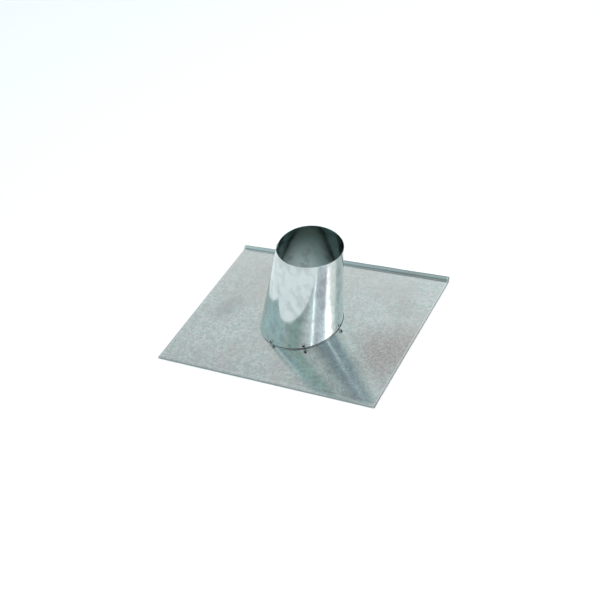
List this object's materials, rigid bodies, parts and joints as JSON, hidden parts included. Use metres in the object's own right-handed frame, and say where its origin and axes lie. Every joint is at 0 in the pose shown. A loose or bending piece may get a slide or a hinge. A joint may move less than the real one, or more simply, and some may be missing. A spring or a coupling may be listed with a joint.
{
  "type": "roof vent flashing",
  "caption": "Galvanised sheet roof flashing: a flat plate with an upturned edge and an open, leaning tapered cone riveted over its neck to seal a vent pipe.",
  "frame": {"origin": "middle of the outline seen from above, at the level of the lowest hem, which is the bottom of the bounding box", "axes": "+Z is the plate's normal and points out of the roof, +X points up the slope, the way the cone leans, +Y points across the slope to the long edge with the upturned lip"},
  "size_m": [0.3556, 0.2616, 0.1546],
  "materials": {
    "galvanised_plate": "zinc coated, fine spangle, semi-matt",
    "galvanised_cone": "zinc coated, smooth and bright",
    "rivet_alloy": "plain aluminium, satin",
    "mandrel_steel": "plain steel, broken end"
  },
  "bodies": {
    "root": {"base_plate": "galvanised_plate", "cone": "galvanised_cone", "rivet_body_right": "rivet_alloy", "rivet_body_back_right": "rivet_alloy", "rivet_body_back_left": "rivet_alloy", "rivet_body_left": "rivet_alloy", "rivet_body_front_left": "rivet_alloy", "rivet_body_front_right": "rivet_alloy", "rivet_mandrel_right": "mandrel_steel", "rivet_mandrel_back_right": "mandrel_steel", "rivet_mandrel_back_left": "mandrel_steel", "rivet_mandrel_left": "mandrel_steel", "rivet_mandrel_front_left": "mandrel_steel", "rivet_mandrel_front_right": "mandrel_steel"}
  },
  "joints": []
}
